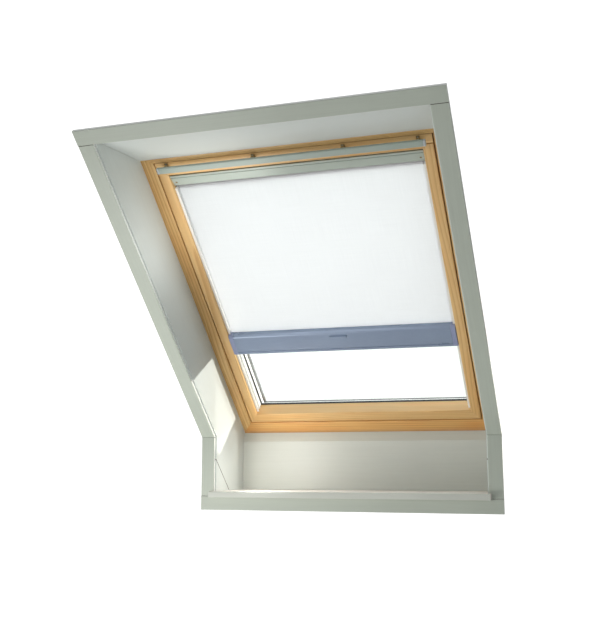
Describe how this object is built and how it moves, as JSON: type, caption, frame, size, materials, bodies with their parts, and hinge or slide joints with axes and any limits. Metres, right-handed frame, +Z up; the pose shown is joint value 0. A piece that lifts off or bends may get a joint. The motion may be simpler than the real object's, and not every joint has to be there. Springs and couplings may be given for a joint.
{
  "type": "skylight window blind",
  "caption": "Roller blind in a centre-pivot pine roof window, with its painted room lining and architrave, at a 42 degree roof pitch.",
  "frame": {"origin": "centre of the back face of the bottom architrave, which lies on the wall under the window", "axes": "+X along the window's width to the right seen from the room, +Y square to the wall and away from the room, +Z up; the roof climbs towards -Y at 42 degrees"},
  "size_m": [0.836, 1.0248, 0.9485],
  "materials": {
    "painted_board": "smooth satin grey-green paint on board",
    "outer_cover": "grey lacquered folded sheet",
    "steel": "zinc-plated, dull",
    "pine": "varnished pine, satin",
    "gasket": "matt black rubber",
    "glass": "clear float glass",
    "plain_aluminium": "mill finish",
    "control_bar": "silver anodised, satin",
    "bar_cap": "moulded, grey",
    "bracket": "moulded, dark brown",
    "cassette": "pale grey-green lacquer",
    "channel": "white, satin",
    "blind_fabric": "white close plain weave, slightly translucent",
    "blind_bar": "blue-grey lacquer, satin",
    "blind_bar_cap": "moulded, violet-grey"
  },
  "bodies": {
    "window_frame": {"architrave_top": "painted_board", "architrave_left_slope": "painted_board", "architrave_right_slope": "painted_board", "architrave_left_wall": "painted_board", "architrave_right_wall": "painted_board", "architrave_bottom": "painted_board", "head_lining": "painted_board", "left_side_lining": "painted_board", "right_side_lining": "painted_board", "left_corner_filler": "painted_board", "right_corner_filler": "painted_board", "bottom_lining": "painted_board", "sill_board": "painted_board", "frame_head": "pine", "frame_left_stile": "pine", "frame_right_stile": "pine", "frame_bottom_rail": "pine", "left_pivot_plate": "steel", "right_pivot_plate": "steel", "striker_plate": "steel", "frame_head_cover": "outer_cover", "frame_left_cover": "outer_cover", "frame_right_cover": "outer_cover", "frame_bottom_cover": "outer_cover"},
    "sash": {"sash_top_rail": "pine", "sash_left_stile": "pine", "sash_right_stile": "pine", "sash_bottom_rail": "pine", "left_pivot_arm": "steel", "right_pivot_arm": "steel", "glazing_gasket": "gasket", "inner_pane": "glass", "spacer_frame": "plain_aluminium", "outer_pane": "glass", "sash_top_cladding": "outer_cover", "sash_left_cladding": "outer_cover", "sash_right_cladding": "outer_cover", "sash_bottom_cladding": "outer_cover", "lock_case": "steel", "flap_hinge_rod": "steel", "blind_cassette": "cassette", "cassette_left_cap": "cassette", "cassette_right_cap": "cassette", "left_side_channel": "channel", "right_side_channel": "channel", "blind_fabric": "blind_fabric"},
    "lock_bolt": {"lock_bolt": "steel"},
    "vent_flap": {"vent_flap": "pine", "control_bar": "control_bar", "bar_bracket_1": "bracket", "bar_bracket_2": "bracket", "bar_bracket_3": "bracket", "bar_bracket_4": "bracket", "bar_left_cap": "bar_cap", "bar_right_cap": "bar_cap"},
    "roller": {"roller_tube": "plain_aluminium", "fabric_roll": "blind_fabric"},
    "blind_bar": {"blind_bar": "blind_bar", "blind_bar_left_cap": "blind_bar_cap", "blind_bar_right_cap": "blind_bar_cap"}
  },
  "joints": [
    {"name": "sash_tilt", "type": "hinge", "parent": "window_frame", "child": "sash", "pos_m": [0, -0.12707, 0.53446], "axis": [1, 0, 0], "range_deg": [0, 160]},
    {"name": "flap_tilt", "type": "hinge", "parent": "sash", "child": "vent_flap", "pos_m": [0, -0.46735, 0.81972], "axis": [1, 0, 0], "range_deg": [0, 35]},
    {"name": "lock_slide", "type": "slide", "parent": "sash", "child": "lock_bolt", "axis": [0, -0.7431, 0.6691], "range_m": [-0.004, 0]},
    {"name": "blind_slide", "type": "slide", "parent": "sash", "child": "blind_bar", "axis": [0, -0.7431, 0.6691], "range_m": [-0.234, 0.47], "deforming": ["blind_fabric"]},
    {"name": "roller_turn", "type": "hinge", "parent": "sash", "child": "roller", "pos_m": [0, -0.41972, 0.80873], "axis": [1, 0, 0], "range_deg": [-2400, 1200]}
  ],
  "couplings": [
    {"joint": "lock_slide", "follows": "flap_tilt", "m_per_rad": -0.0065},
    {"joint": "roller_turn", "follows": "blind_slide", "rad_per_m": -87}
  ]
}
